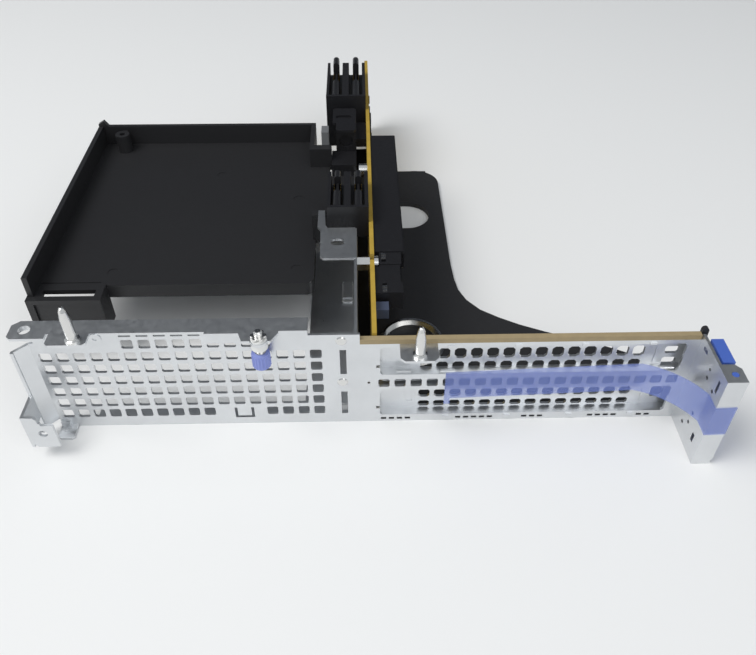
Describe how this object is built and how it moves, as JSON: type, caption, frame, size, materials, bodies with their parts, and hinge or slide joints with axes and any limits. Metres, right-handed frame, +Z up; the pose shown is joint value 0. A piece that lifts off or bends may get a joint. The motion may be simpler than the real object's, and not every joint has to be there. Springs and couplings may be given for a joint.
{
  "type": "riser cage bracket",
  "caption": "Folded steel riser cage for a server: vented rear panel with card slot covers, upright riser card with sockets, black air tray, base plate arm, side latch and captive screw.",
  "frame": {"origin": "middle of the footprint, on the table", "axes": "+X across the rear wall to the right seen from outside, +Y from the rear wall's outer face inwards, +Z up"},
  "size_m": [0.2402, 0.2382, 0.0582],
  "materials": {
    "zinc_steel": "satin",
    "plated_steel": "satin",
    "grey_steel": "matte",
    "white_plastic": "matte",
    "pale_blue_plastic": "matte",
    "blue_plastic": "satin",
    "blue_film": "gloss",
    "conductive_foam": "matte",
    "circuit_board": "satin",
    "contact_gold": "satin",
    "black_plastic": "satin",
    "slate_plastic": "matte",
    "tray_plastic": "satin",
    "black_paint": "matte"
  },
  "bodies": {
    "frame": {"rear_panel": "zinc_steel", "slot_cover_upper": "zinc_steel", "slot_cover_lower": "zinc_steel", "emi_gasket": "conductive_foam", "guide_pin_left": "plated_steel", "guide_pin_right": "plated_steel", "screw_ferrule": "white_plastic", "riser_support": "zinc_steel", "riser_card": "circuit_board", "card_socket_upper": "black_plastic", "card_socket_lower": "black_plastic", "socket_contacts": "contact_gold", "side_connector": "black_plastic", "connector_clips": "plated_steel", "side_block": "slate_plastic", "board_components": "black_plastic", "near_connector": "black_plastic", "near_blades": "contact_gold", "far_connector": "black_plastic", "far_blades": "contact_gold", "connector_saddle": "black_plastic", "spacer_plate": "grey_steel", "card_standoffs": "plated_steel", "card_screws": "plated_steel", "panel_rivets": "plated_steel", "air_tray": "tray_plastic", "base_plate": "black_paint", "plate_ring": "plated_steel", "film_strip": "blue_film"},
    "latch": {"retention_latch": "blue_plastic"},
    "screw_carrier": {"screw_ring": "plated_steel"},
    "screw": {"thumbscrew_shank": "plated_steel", "thumbscrew_knob": "pale_blue_plastic"}
  },
  "joints": [
    {"name": "latch_hinge", "type": "hinge", "parent": "frame", "child": "latch", "pos_m": [0.1172, -0.1153, 0.02], "axis": [0, 0, -1], "range_deg": [0, 85]},
    {"name": "screw_slide", "type": "slide", "parent": "frame", "child": "screw_carrier", "axis": [0, 0, 1], "range_m": [0, 0.0014]},
    {"name": "screw_turn", "type": "hinge", "parent": "screw_carrier", "child": "screw", "pos_m": [-0.0307, -0.101, 0.04], "axis": [0, 0, 1], "continuous": true}
  ]
}
